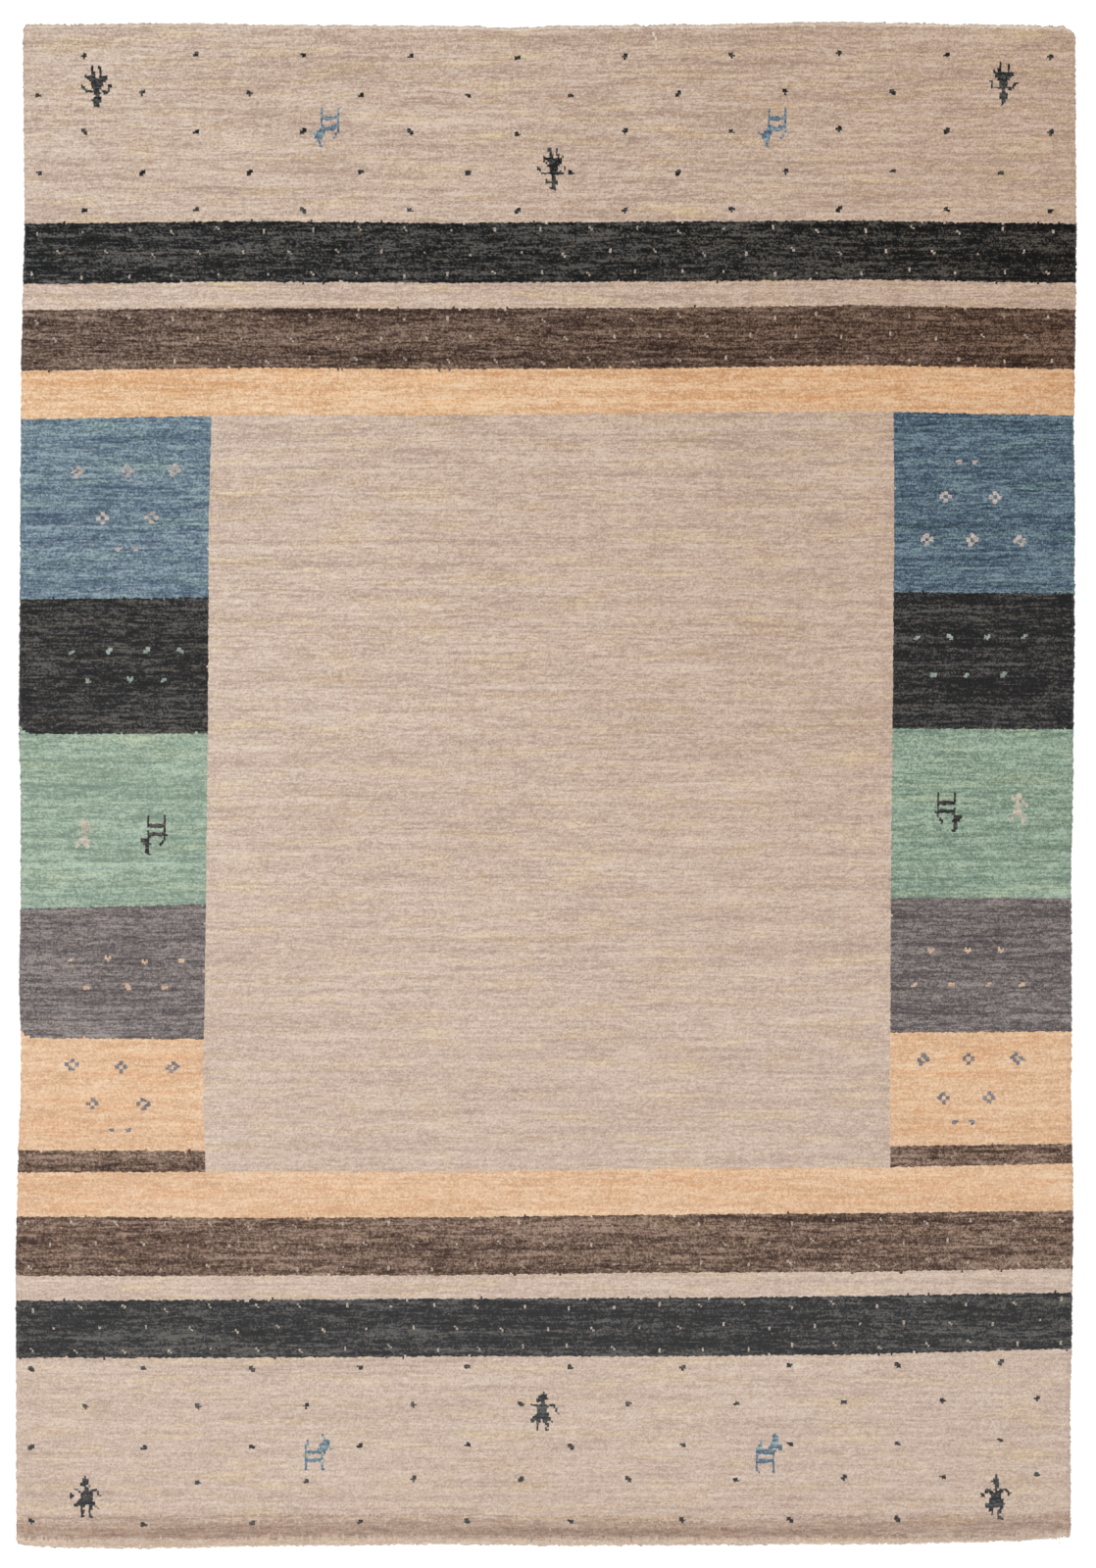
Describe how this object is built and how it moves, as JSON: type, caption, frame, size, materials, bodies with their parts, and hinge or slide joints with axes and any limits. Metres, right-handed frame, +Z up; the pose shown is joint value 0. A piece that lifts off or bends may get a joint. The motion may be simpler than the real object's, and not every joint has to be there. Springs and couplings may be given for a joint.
{
  "type": "oriental carpet",
  "caption": "Rectangular wool pile rug lying flat, with cross bands at both ends, side blocks of colour and small woven figures; it covers a floor.",
  "frame": {"origin": "middle of the flat underside, where the rug lies on the floor", "axes": "+Y along the rug's length to its head end, +X across it to the right as seen from above, +Z up through the pile"},
  "size_m": [1.6119, 2.3212, 0.0149],
  "materials": {
    "wool_pile": "matt, cut wool pile"
  },
  "bodies": {
    "root": {"carpet": "wool_pile"}
  },
  "joints": []
}
